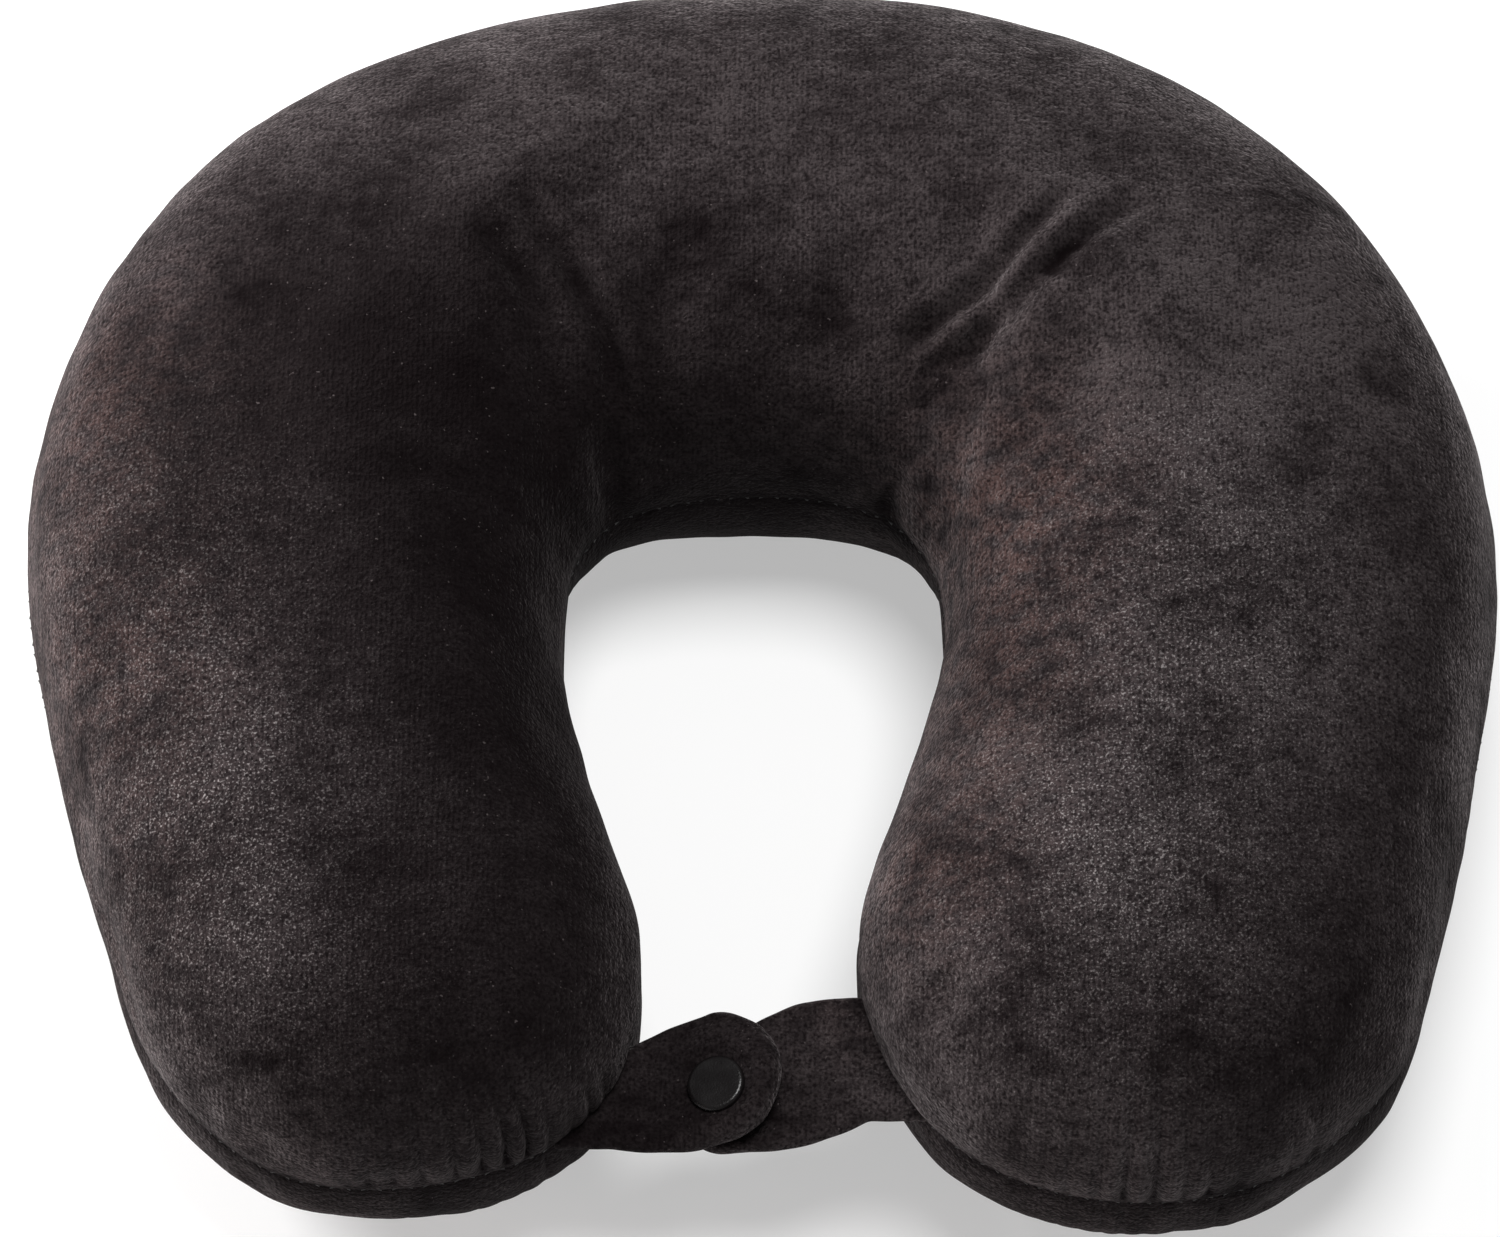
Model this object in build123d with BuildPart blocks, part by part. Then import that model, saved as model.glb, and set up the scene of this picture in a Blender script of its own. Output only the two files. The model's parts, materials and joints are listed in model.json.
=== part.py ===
from build123d import *

import os
from math import asin, atan2, degrees, radians, sqrt, tan

# U-shaped travel neck pillow with a two-tab snap strap, in millimetres.
#
# The pillow lies flat on the ground plane with +Z up. The origin is on the ground under the middle of its
# outline, the opening between the arms faces -Y, the back is at +Y, left is -X and right is +X.
#
# The cover is two panels joined by one seam that runs round the U at mid height. A tab grows out of that
# seam on each arm, and the two lap over one another between the arms, the left one on top. They are flat and
# parallel, tilted so that both fold lines lie at seam height, and a press snap joins them.

# Cushion
overall_width = 320.0
overall_depth = 291.0
thickness = 98.0
band_width = 120.0  # of the padded tube, seen from above
edge_round = 48.0  # of the tube, top and bottom
back_radius = 206.0  # of the tube's middle line across the back
shoulder_radius = 74.0  # of the tube's middle line round each shoulder
toe_in = 13.0  # degrees that each arm leans towards the other
seam_z = thickness / 2

# Cover, main seam and filling
cover_thickness = 1.6
seam_allowance = 8.0  # the raw edges turned in along the seam
thread_gauge = 0.8
stitch_length = 6.0
stitch_pitch = 10.0
stitch_inset = 5.0
closing_start = 16.0  # the hand-closed opening behind the right shoulder, as a range of X
closing_end = 86.0
closing_length = 3.0
closing_pitch = 7.0
closing_inset = 2.0
fill_clearance = 0.4
groove_depth = 10.0  # left in the filling for the turned-in edges
groove_height = 8.0

# Opening the U: its two sides turn about an upright line in the back
flex_y = 105.0
spread_limit = 25.0
spread_margin = 2.0
side_gap = 0.3

# Strap
strap_x = -2.0
strap_y = -115.0
fold_span = 40.0  # between the two tabs' fold lines
fold_gap = 2.8  # between a fold line and the cloth sewn into the seam
root_reach = 45.0  # far enough to pass the seam allowance
root_thickness = 3.0
root_clearance = 0.15
left_root_width = 21.0
left_root_shift = -2.0
left_tip_radius = 15.5
right_root_width = 30.0
right_root_shift = 3.0
right_tip_radius = 14.0
snap_u = -5.9  # of the snap along the strap, from the strap's middle
ply_thickness = 1.6
interlining_thickness = 0.8
interlining_inset = 3.5
tab_thickness = 2 * ply_thickness + interlining_thickness
rim_width = 2.0  # where a tab's two plies meet
tab_thread_gauge = 0.5
tab_stitch_length = 2.6
tab_stitch_pitch = 4.0

# Press snap, size 20
cap_radius = 6.2
cap_height = 1.5
cap_round = 0.9
post_radius = 1.1
hole_radius = 1.2
rivet_radius = 1.7
rivet_height = 0.6
snap_radius = 5.3
snap_round = 0.4
socket_floor = 1.0
socket_height = 3.4
socket_lip = 0.7
socket_cavity_radius = 3.1
socket_mouth_radius = 2.55
stud_floor = 0.5
stud_flange = 1.2
stud_height = 2.2
stud_bore_radius = 1.9
stud_neck_radius = 2.4
stud_bulge_radius = 2.7  # wider than the socket's mouth, which springs over it
stud_bulge_height = 1.2
snap_clearance = 0.3  # the snap rests unpressed, with this much air between its halves

# Middle line of the tube
side_x = (overall_width - band_width) / 2
back_y = (overall_depth - band_width) / 2
arm_end_y = -back_y
shoulder_x = side_x - shoulder_radius
back_centre_y = back_y - back_radius
shoulder_y = back_centre_y + sqrt((back_radius - shoulder_radius) ** 2 - shoulder_x**2)
back_half_angle = degrees(atan2(shoulder_x, shoulder_y - back_centre_y))

# Strap frame: X along the strap, Z up through the snap, origin midway between the two fold lines
tab_pitch = tab_thickness + socket_height + snap_clearance + stud_height + stud_flange
strap_tilt = degrees(asin(tab_pitch / fold_span))
fold_u = sqrt(fold_span**2 - tab_pitch**2) / 2
strap_plane = Plane((strap_x, strap_y, seam_z)).rotated((0, -strap_tilt, 0))
left_plane = strap_plane.offset(tab_pitch / 2)
right_plane = strap_plane.offset(-tab_pitch / 2)

LEFT = -1
RIGHT = 1


# ------------------------------------------------------------ cushion shapes


def plan_outline(inset=0.0):
    """The U seen from above, brought in by inset all round."""
    with BuildSketch() as outline:
        with BuildLine() as middle_line:
            CenterArc((0, back_centre_y), back_radius, 90, -back_half_angle)
            shoulder = CenterArc(
                (shoulder_x, shoulder_y),
                shoulder_radius,
                90 - back_half_angle,
                back_half_angle - 90 - toe_in,
            )
            arm_drop = (shoulder @ 1).Y - arm_end_y
            PolarLine(shoulder @ 1, arm_drop, 270 - toe_in, length_mode=LengthMode.VERTICAL)
            mirror(about=Plane.YZ)
            whole = Wire.combine(middle_line.edges())[0]
            offset(whole, band_width / 2 - inset, mode=Mode.REPLACE)
        make_face()
    return outline.sketch


def cushion(inset=0.0):
    """The padded U, brought in by inset on every side."""
    with BuildPart() as body:
        with BuildSketch(Plane.XY.offset(inset)):
            add(plan_outline(inset))
        extrude(amount=thickness - 2 * inset)
        levels = body.edges().group_by(Axis.Z)
        fillet(levels[0] + levels[-1], edge_round - inset)
    return body.part


def edge_band(depth, height):
    """All that is within depth of the outline and height / 2 of the seam."""
    with BuildPart() as band:
        with BuildSketch(Plane.XY.offset(seam_z)):
            add(plan_outline())
            add(plan_outline(depth), mode=Mode.SUBTRACT)
        extrude(amount=height / 2, both=True)
    return band.part


def side_region(side):
    """One side of the plan, without the wedge that closes up behind the flex line as the U opens."""
    wedge_depth = overall_depth / 2 - flex_y
    wedge_width = wedge_depth * tan(radians(spread_limit / 2 + spread_margin))
    with BuildPart() as region:
        with BuildSketch():
            with BuildLine():
                Polyline(
                    (side * side_gap, -overall_depth / 2),
                    (side * side_gap, flex_y),
                    (side * (side_gap + wedge_width), overall_depth / 2),
                    (side * overall_width / 2, overall_depth / 2),
                    (side * overall_width / 2, -overall_depth / 2),
                    close=True,
                )
            make_face()
        extrude(amount=thickness)
    return region.part


def root_strip(side, width, shift, growth=0.0):
    """The end of a tab that goes through the seam, grown on every side by growth."""
    start = strap_x + side * (fold_span / 2 + fold_gap - growth)
    with BuildPart() as strip:
        with BuildSketch(Plane.XY.offset(seam_z)):
            with Locations((start + side * root_reach / 2, strap_y + shift)):
                Rectangle(root_reach, width + 2 * growth)
        extrude(amount=root_thickness / 2 + growth, both=True)
    return strip.part


# ------------------------------------------------------------ stitches


def stitch_planes(path, base, pitch):
    """Upright planes across base, one every pitch along path, with X along the path."""
    count = round(path.length / pitch)
    planes = []
    for i in range(count):
        spot = base.from_local_coords(path @ (i / count))
        ahead = base.from_local_coords(path @ (i / count) + path % (i / count))
        along = ahead - spot
        planes.append(Plane(spot, x_dir=along, z_dir=along.cross(base.z_dir)))
    return planes


def stitch_link(length, gap, gauge):
    """One stitch seen from the side: a closed link round the layers that it holds."""
    Rectangle(length, gap + 2 * gauge)
    Rectangle(length - 2 * gauge, gap, mode=Mode.SUBTRACT)


def crosses_strap(point):
    """Whether a place on the seam is where one of the tabs comes through."""
    reach = right_root_width / 2 + stitch_length
    return abs(point.Y - strap_y) < reach and abs(point.X) < shoulder_radius


def crosses_closing(point):
    """Whether a place on the seam is on the hand-closed opening."""
    return point.Y > back_y and closing_start < point.X < closing_end


# ------------------------------------------------------------ tab shapes


def tab_outline(side, root_width, root_shift, tip_radius):
    """A tab in the strap frame: round about the snap and straight on its fold line."""
    with BuildSketch() as outline:
        with Locations((snap_u, 0)):
            Circle(tip_radius)
        with Locations((side * (fold_u - rim_width / 2), root_shift)):
            Rectangle(rim_width, root_width)
        make_hull()
        kept = Keep.TOP if side == LEFT else Keep.BOTTOM
        split(bisect_by=Plane.YZ.offset(side * fold_u), keep=kept)
    return outline.sketch


def tab_ply(outline, middle, face):
    """One cloth layer, with a rim that reaches the tab's middle. face is 1 for the upper, -1 for the lower."""
    with BuildPart() as ply:
        with BuildSketch(middle.offset(face * interlining_thickness / 2)):
            add(outline)
            with Locations((snap_u, 0)):
                Circle(hole_radius, mode=Mode.SUBTRACT)
        extrude(amount=face * ply_thickness)
        with BuildSketch(middle):
            add(outline)
            offset(outline, -rim_width, mode=Mode.SUBTRACT)
        extrude(amount=face * interlining_thickness / 2)
    return ply.part


def tab_interlining(outline, middle):
    """The stiff layer between the plies that the snap bites on."""
    with BuildPart() as layer:
        with BuildSketch(middle):
            offset(outline, -interlining_inset)
            with Locations((snap_u, 0)):
                Circle(hole_radius, mode=Mode.SUBTRACT)
        extrude(amount=interlining_thickness / 2, both=True)
    return layer.part


def tab_thread(outline, middle):
    """The stitches round a tab, through the rims of both plies."""
    path = offset(outline, -rim_width / 2, mode=Mode.PRIVATE).wire()
    with BuildPart() as thread:
        with BuildSketch(*stitch_planes(path, middle, tab_stitch_pitch)):
            stitch_link(tab_stitch_length, interlining_thickness, tab_thread_gauge)
        extrude(amount=tab_thread_gauge / 2, both=True)
    return thread.part


# ------------------------------------------------------------ snap shapes


def snap_seat(middle, face):
    """Plane on a tab's upper (1) or lower (-1) face at the snap, its Z pointing out of the cloth."""
    surface = middle.offset(face * tab_thickness / 2)
    return Plane(surface.from_local_coords((snap_u, 0, 0)), surface.x_dir, surface.z_dir * face)


def turned(seat, profile):
    """A solid turned about the seat's Z axis from a profile of (radius, height) points."""
    with BuildPart() as solid:
        with BuildSketch(Plane(seat.origin, seat.x_dir, -seat.y_dir)):
            with BuildLine():
                Polyline(*profile, close=True)
            make_face()
        revolve(axis=Axis(seat.origin, seat.z_dir))
    return solid.part


def cap_profile(mate_floor):
    """Flat cap, and a post spread into a rivet on the floor of the half across the tab."""
    rivet_top = -tab_thickness - mate_floor
    return [
        (0, cap_height),
        (cap_radius, cap_height),
        (cap_radius, 0),
        (post_radius, 0),
        (post_radius, rivet_top),
        (rivet_radius, rivet_top),
        (rivet_radius, rivet_top - rivet_height),
        (0, rivet_top - rivet_height),
    ]


def socket_profile():
    """Cup with a lip inside its mouth."""
    lip_base = socket_height - socket_lip
    return [
        (hole_radius, 0),
        (snap_radius, 0),
        (snap_radius, socket_height),
        (socket_mouth_radius, socket_height),
        (socket_mouth_radius, lip_base),
        (socket_cavity_radius, lip_base),
        (socket_cavity_radius, socket_floor),
        (hole_radius, socket_floor),
    ]


def stud_profile():
    """Flange with a hollow post that swells before its end."""
    tip = stud_flange + stud_height
    return [
        (hole_radius, 0),
        (snap_radius, 0),
        (snap_radius, stud_flange),
        (stud_neck_radius, stud_flange),
        (stud_bulge_radius, stud_flange + stud_bulge_height),
        (stud_neck_radius, tip),
        (stud_bore_radius, tip),
        (stud_bore_radius, stud_floor),
        (hole_radius, stud_floor),
    ]


def outer_rim(part, seat, radius, height):
    """The round edge of a turned part at a given radius and height above its seat."""
    rims = part.edges().filter_by(GeomType.CIRCLE)
    at_radius = rims.filter_by(lambda edge: abs(edge.radius - radius) < snap_round / 4)
    return at_radius.sort_by(lambda edge: abs(seat.to_local_coords(edge.arc_center).Z - height))[0]


def save(builder, name):
    """Label a finished piece and write it as parts/NAME.step."""
    builder.part.label = name
    export_step(builder.part, f"parts/{name}.step")


os.makedirs("parts", exist_ok=True)

# ------------------------------------------------------------ cover

with BuildPart() as cavity:
    add(cushion(cover_thickness))
    add(edge_band(seam_allowance, 2 * cover_thickness), mode=Mode.SUBTRACT)
    add(root_strip(LEFT, left_root_width, left_root_shift, root_clearance))
    add(root_strip(RIGHT, right_root_width, right_root_shift, root_clearance))

with BuildPart() as top_panel:
    add(cushion())
    add(cavity.part, mode=Mode.SUBTRACT)
    split(bisect_by=Plane.XY.offset(seam_z), keep=Keep.TOP)
save(top_panel, "top_panel")

with BuildPart() as bottom_panel:
    add(cushion())
    add(cavity.part, mode=Mode.SUBTRACT)
    split(bisect_by=Plane.XY.offset(seam_z), keep=Keep.BOTTOM)
save(bottom_panel, "bottom_panel")

seam_planes = [
    plane
    for plane in stitch_planes(plan_outline(stitch_inset).wire(), Plane.XY.offset(seam_z), stitch_pitch)
    if not crosses_strap(plane.origin) and not crosses_closing(plane.origin)
]
with BuildPart() as seam_thread:
    with BuildSketch(*seam_planes):
        stitch_link(stitch_length, 2 * cover_thickness, thread_gauge)
    extrude(amount=thread_gauge / 2, both=True)
save(seam_thread, "seam_thread")

closing_planes = [
    plane
    for plane in stitch_planes(plan_outline(closing_inset).wire(), Plane.XY.offset(seam_z), closing_pitch)
    if crosses_closing(plane.origin)
]
with BuildPart() as closing_thread:
    with BuildSketch(*closing_planes):
        stitch_link(closing_length, cover_thickness, thread_gauge)
    extrude(amount=thread_gauge / 2, both=True)
save(closing_thread, "closing_thread")

# ------------------------------------------------------------ filling

with BuildPart() as fill_left:
    add(cushion(cover_thickness + fill_clearance))
    add(edge_band(groove_depth, groove_height), mode=Mode.SUBTRACT)
    add(side_region(LEFT), mode=Mode.INTERSECT)
save(fill_left, "fill_left")

with BuildPart() as fill_right:
    add(cushion(cover_thickness + fill_clearance))
    add(edge_band(groove_depth, groove_height), mode=Mode.SUBTRACT)
    add(side_region(RIGHT), mode=Mode.INTERSECT)
save(fill_right, "fill_right")

# ------------------------------------------------------------ strap roots, sewn into the seam

with BuildPart() as seam_inside:
    with BuildSketch():
        add(plan_outline(seam_allowance))
    extrude(amount=thickness)

with BuildPart() as left_tab_root:
    add(root_strip(LEFT, left_root_width, left_root_shift))
    add(seam_inside.part, mode=Mode.SUBTRACT)
save(left_tab_root, "left_tab_root")

with BuildPart() as right_tab_root:
    add(root_strip(RIGHT, right_root_width, right_root_shift))
    add(seam_inside.part, mode=Mode.SUBTRACT)
save(right_tab_root, "right_tab_root")

# ------------------------------------------------------------ left tab, on top, with the socket below it

left_outline = tab_outline(LEFT, left_root_width, left_root_shift, left_tip_radius)

with BuildPart() as left_tab_face:
    add(tab_ply(left_outline, left_plane, 1))
save(left_tab_face, "left_tab_face")

with BuildPart() as left_tab_back:
    add(tab_ply(left_outline, left_plane, -1))
save(left_tab_back, "left_tab_back")

with BuildPart() as left_tab_interlining:
    add(tab_interlining(left_outline, left_plane))
save(left_tab_interlining, "left_tab_interlining")

with BuildPart() as left_tab_thread:
    add(tab_thread(left_outline, left_plane))
save(left_tab_thread, "left_tab_thread")

left_cap_seat = snap_seat(left_plane, 1)
with BuildPart() as left_snap_cap:
    add(turned(left_cap_seat, cap_profile(socket_floor)))
    fillet(outer_rim(left_snap_cap, left_cap_seat, cap_radius, cap_height), cap_round)
save(left_snap_cap, "left_snap_cap")

socket_seat = snap_seat(left_plane, -1)
with BuildPart() as left_snap_socket:
    add(turned(socket_seat, socket_profile()))
    fillet(outer_rim(left_snap_socket, socket_seat, snap_radius, socket_height), snap_round)
save(left_snap_socket, "left_snap_socket")

# ------------------------------------------------------------ right tab, below, with the stud on it

right_outline = tab_outline(RIGHT, right_root_width, right_root_shift, right_tip_radius)

with BuildPart() as right_tab_face:
    add(tab_ply(right_outline, right_plane, 1))
save(right_tab_face, "right_tab_face")

with BuildPart() as right_tab_back:
    add(tab_ply(right_outline, right_plane, -1))
save(right_tab_back, "right_tab_back")

with BuildPart() as right_tab_interlining:
    add(tab_interlining(right_outline, right_plane))
save(right_tab_interlining, "right_tab_interlining")

with BuildPart() as right_tab_thread:
    add(tab_thread(right_outline, right_plane))
save(right_tab_thread, "right_tab_thread")

right_cap_seat = snap_seat(right_plane, -1)
with BuildPart() as right_snap_cap:
    add(turned(right_cap_seat, cap_profile(stud_floor)))
    fillet(outer_rim(right_snap_cap, right_cap_seat, cap_radius, cap_height), cap_round)
save(right_snap_cap, "right_snap_cap")

stud_seat = snap_seat(right_plane, 1)
with BuildPart() as right_snap_stud:
    add(turned(stud_seat, stud_profile()))
    fillet(outer_rim(right_snap_stud, stud_seat, snap_radius, stud_flange), snap_round)
save(right_snap_stud, "right_snap_stud")
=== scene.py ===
import json
import math

import bpy
import numpy as np
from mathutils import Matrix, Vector, noise


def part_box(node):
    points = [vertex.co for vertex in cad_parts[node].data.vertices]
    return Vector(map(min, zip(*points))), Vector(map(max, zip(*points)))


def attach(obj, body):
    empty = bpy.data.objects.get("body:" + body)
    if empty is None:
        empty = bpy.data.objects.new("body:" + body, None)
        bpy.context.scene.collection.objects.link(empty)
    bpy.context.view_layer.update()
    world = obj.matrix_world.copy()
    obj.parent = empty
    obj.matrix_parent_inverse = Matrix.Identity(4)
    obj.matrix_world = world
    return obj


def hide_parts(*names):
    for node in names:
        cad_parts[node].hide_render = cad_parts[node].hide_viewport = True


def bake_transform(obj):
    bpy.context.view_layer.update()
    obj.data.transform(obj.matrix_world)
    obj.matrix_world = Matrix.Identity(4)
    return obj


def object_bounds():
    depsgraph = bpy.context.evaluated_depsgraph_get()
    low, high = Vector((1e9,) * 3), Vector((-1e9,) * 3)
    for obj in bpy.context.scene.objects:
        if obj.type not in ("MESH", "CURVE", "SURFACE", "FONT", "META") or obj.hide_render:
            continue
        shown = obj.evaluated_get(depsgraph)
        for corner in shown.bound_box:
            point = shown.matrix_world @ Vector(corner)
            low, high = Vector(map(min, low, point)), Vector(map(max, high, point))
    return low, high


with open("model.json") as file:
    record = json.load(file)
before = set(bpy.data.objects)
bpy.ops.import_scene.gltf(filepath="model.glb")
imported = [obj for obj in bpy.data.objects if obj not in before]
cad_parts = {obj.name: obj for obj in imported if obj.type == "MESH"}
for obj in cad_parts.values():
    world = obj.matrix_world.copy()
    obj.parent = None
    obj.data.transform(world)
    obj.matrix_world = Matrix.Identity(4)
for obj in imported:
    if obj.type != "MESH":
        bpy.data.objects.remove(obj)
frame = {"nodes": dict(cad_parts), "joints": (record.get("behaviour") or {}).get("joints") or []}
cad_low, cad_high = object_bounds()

# A travel neck pillow in black velour. Everything is in metres in the CAD's frame: the pillow lies flat on
# z = 0, its arms point to -Y, and its padded back is at +Y.
#
# A point on the cushion is named by s and rho. s is the distance along the middle line of the U, from 0 in the
# middle of the back to the right arm (plus) or the left arm (minus). rho goes from 0 on the crown to 1 at the
# seam.

# ---------------------------------------------------------------- sizes

WIDTH = cad_high.x - cad_low.x
DEPTH = cad_high.y - cad_low.y
THICKNESS = cad_high.z - cad_low.z
SEAM_Z = THICKNESS / 2
BAND = 0.375 * WIDTH  # the padded tube, seen from above
BACK_RADIUS = 0.206
SHOULDER_RADIUS = 0.074
TOE_IN = math.radians(13.0)

CELL = 0.0045  # of the cushion's mesh before it is subdivided

# The tube's section: its squareness, where 2 is an ellipse, and its height as a share of the CAD's
EMPTY_SECTION = (2.2, 0.90)
FULL_SECTION = (2.5, 1.01)

# The cover starts wider and more open than it ends up: closing it gathers the cloth inside the U
OPEN_BEND = 0.90
EDGE_EXCESS = 0.05
SIM_FRAMES = 30
CLOSED_BY_FRAME = 18
COVER_SUBDIVISIONS = 2

SEAM_PULL = 0.0013  # the seam sits this far in from the swell of the panels
SEAM_REACH = 0.0060
FILL_INSET = 0.009  # from the cover to the modelled filling

BLEND_REACH = 0.120  # how far along the U from the middle of the back the weight in blend_along_u spreads

SECTION_STEPS = 400
TINY = 1e-9  # stands in for zero where something is divided by it


def smooth_step(t):
    t = np.clip(t, 0.0, 1.0)
    return t * t * (3 - 2 * t)


def lumps(points, size, seed=0.0):
    """Soft noise between about -1 and 1 at each point, with lumps of that size."""
    offset = Vector((seed, -seed, 2 * seed))
    return np.array([noise.noise(Vector(p) / size + offset) for p in points])


# ---------------------------------------------------------------- the U

side_x = (WIDTH - BAND) / 2
back_y = (DEPTH - BAND) / 2
shoulder_x = side_x - SHOULDER_RADIUS
back_angle = math.asin(shoulder_x / (BACK_RADIUS - SHOULDER_RADIUS))
shoulder_angle = math.pi / 2 - back_angle + TOE_IN
ARCS = ((BACK_RADIUS, BACK_RADIUS * back_angle), (SHOULDER_RADIUS, SHOULDER_RADIUS * shoulder_angle))


def middle_line(s, bend=1.0):
    """Point, direction along, and direction out of the U, at s. bend below 1 opens the U."""
    s = np.asarray(s, float)
    side = np.where(s < 0, -1.0, 1.0)
    left = np.abs(s)
    x = np.zeros_like(s)
    y = np.full_like(s, back_y)
    heading = np.zeros_like(s)
    for radius, length in ARCS:
        step = np.minimum(left, length)
        turn = step * bend / radius
        x = x + radius / bend * (np.sin(heading + turn) - np.sin(heading))
        y = y - radius / bend * (np.cos(heading) - np.cos(heading + turn))
        heading = heading + turn
        left = left - step
    x = x + left * np.cos(heading)
    y = y - left * np.sin(heading)
    point = np.stack([side * x, y], -1)
    along = np.stack([np.cos(heading), -side * np.sin(heading)], -1)
    out = np.stack([side * np.sin(heading), np.cos(heading)], -1)
    return point, along, out


bent_length = ARCS[0][1] + ARCS[1][1]
arm_start = middle_line(bent_length)[0]
HALF_LENGTH = bent_length + (arm_start[1] + back_y) / math.cos(TOE_IN)


def tube_section(power, height):
    """A quarter of the tube's section: share of the way from crown to seam, distance out, height, girth."""
    phi = np.linspace(0, math.pi / 2, SECTION_STEPS)
    out = BAND / 2 * np.sin(phi) ** (2 / power)
    up = height * SEAM_Z * np.cos(phi) ** (2 / power)
    length = np.concatenate([[0], np.cumsum(np.hypot(np.diff(out), np.diff(up)))])
    return length / length[-1], out, up, length[-1]


GIRTH = tube_section(*FULL_SECTION)[3]  # from crown to seam over the cloth


def half_disc(along, across):
    """A half square, along 0..1 and across -1..1, pressed into a half disc without bunching its corners."""
    return along * np.sqrt(1 - across**2 / 2), across * np.sqrt(1 - along**2 / 2)


def u_grid():
    """A grid over one panel: s, and the steps along and across from the middle line, up to 1 at the seam."""
    straight = round(HALF_LENGTH / CELL)
    ring = round(GIRTH / CELL)
    rows, columns = np.meshgrid(
        np.arange(-straight - ring, straight + ring + 1), np.arange(-ring, ring + 1), indexing="ij"
    )
    s = np.clip(rows / straight, -1, 1) * HALF_LENGTH
    past_end = np.clip(np.abs(rows) - straight, 0, None) / ring
    along, across = half_disc(past_end, columns / ring)
    return s, along * np.sign(rows), across


def cushion_points(section, s, along, across, bend, excess):
    """The upper half of the cushion about the seam plane. excess widens it towards the seam."""
    share, out, up, _ = tube_section(*section)
    rho = np.hypot(along, across)
    safe = np.maximum(rho, TINY)
    point, ahead, outward = middle_line(s, bend)
    reach = np.interp(rho, share, out) * (1 + excess * rho**4)
    plan = point + (reach * along / safe)[..., None] * ahead + (reach * across / safe)[..., None] * outward
    return np.concatenate([plan, np.interp(rho, share, up)[..., None]], -1)


# ---------------------------------------------------------------- meshes


class Sewn:
    """Two grids of the same size sewn together round their edge into one closed skin.

    top and bottom are the vertex numbers of the two halves, and they share the numbers on the edge.
    """

    def __init__(self, shape):
        rows, columns = shape
        self.top = np.arange(rows * columns).reshape(rows, columns)
        self.edge = np.ones(shape, bool)
        self.edge[1:-1, 1:-1] = False
        self.bottom = self.top.copy()
        self.bottom[~self.edge] = rows * columns + np.arange((~self.edge).sum())

    def merge(self, upper, lower):
        """One value per skin vertex from a value per grid point of each half."""
        width = upper.shape[-1] if upper.ndim == 3 else 1
        upper, lower = upper.reshape(-1, width), lower.reshape(-1, width)
        return np.concatenate([upper, lower[(~self.edge).ravel()]])

    @staticmethod
    def quads(table, flip):
        """Faces over one half's vertex numbers. flip turns them over."""
        cells = [table[:-1, :-1], table[1:, :-1], table[1:, 1:], table[:-1, 1:]]
        faces = np.stack(cells, -1).reshape(-1, 4)
        return faces[:, ::-1] if flip else faces

    def faces(self):
        return np.concatenate([self.quads(self.top, False), self.quads(self.bottom, True)])


def make_object(name, points, faces, attributes=None):
    """A smooth mesh object, with a number per point under each attribute's name."""
    mesh = bpy.data.meshes.new(name)
    mesh.from_pydata(points.tolist(), [], faces.tolist())
    mesh.polygons.foreach_set("use_smooth", [True] * len(mesh.polygons))
    obj = bpy.data.objects.new(name, mesh)
    bpy.context.scene.collection.objects.link(obj)
    for key, values in (attributes or {}).items():
        store_number(obj, key, values)
    return obj


def subdivide(obj, levels):
    """Apply that many Catmull-Clark subdivisions."""
    modifier = obj.modifiers.new("subdivide", "SUBSURF")
    modifier.levels = modifier.render_levels = levels
    graph = bpy.context.evaluated_depsgraph_get()
    mesh = bpy.data.meshes.new_from_object(obj.evaluated_get(graph))
    obj.modifiers.clear()
    obj.data = mesh
    return obj


def read_vectors(items, key):
    values = np.zeros(len(items) * 3, np.float32)
    items.foreach_get(key, values)
    return values.reshape(-1, 3).astype(float)


def read_points(obj):
    return read_vectors(obj.data.vertices, "co")


def read_normals(obj):
    return read_vectors(obj.data.vertex_normals, "vector")


def read_attribute(obj, key):
    values = np.zeros(len(obj.data.vertices), np.float32)
    obj.data.attributes[key].data.foreach_get("value", values)
    return values.astype(float)


def store_number(obj, key, values):
    """Keep a number per vertex under a new attribute's name."""
    layer = obj.data.attributes.new(key, "FLOAT", "POINT")
    layer.data.foreach_set("value", np.asarray(values, np.float32).ravel())


def write_points(obj, points):
    obj.data.vertices.foreach_set("co", points.astype(np.float32).ravel())
    obj.data.update()


# ---------------------------------------------------------------- the cushion, blown up and closed


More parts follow.
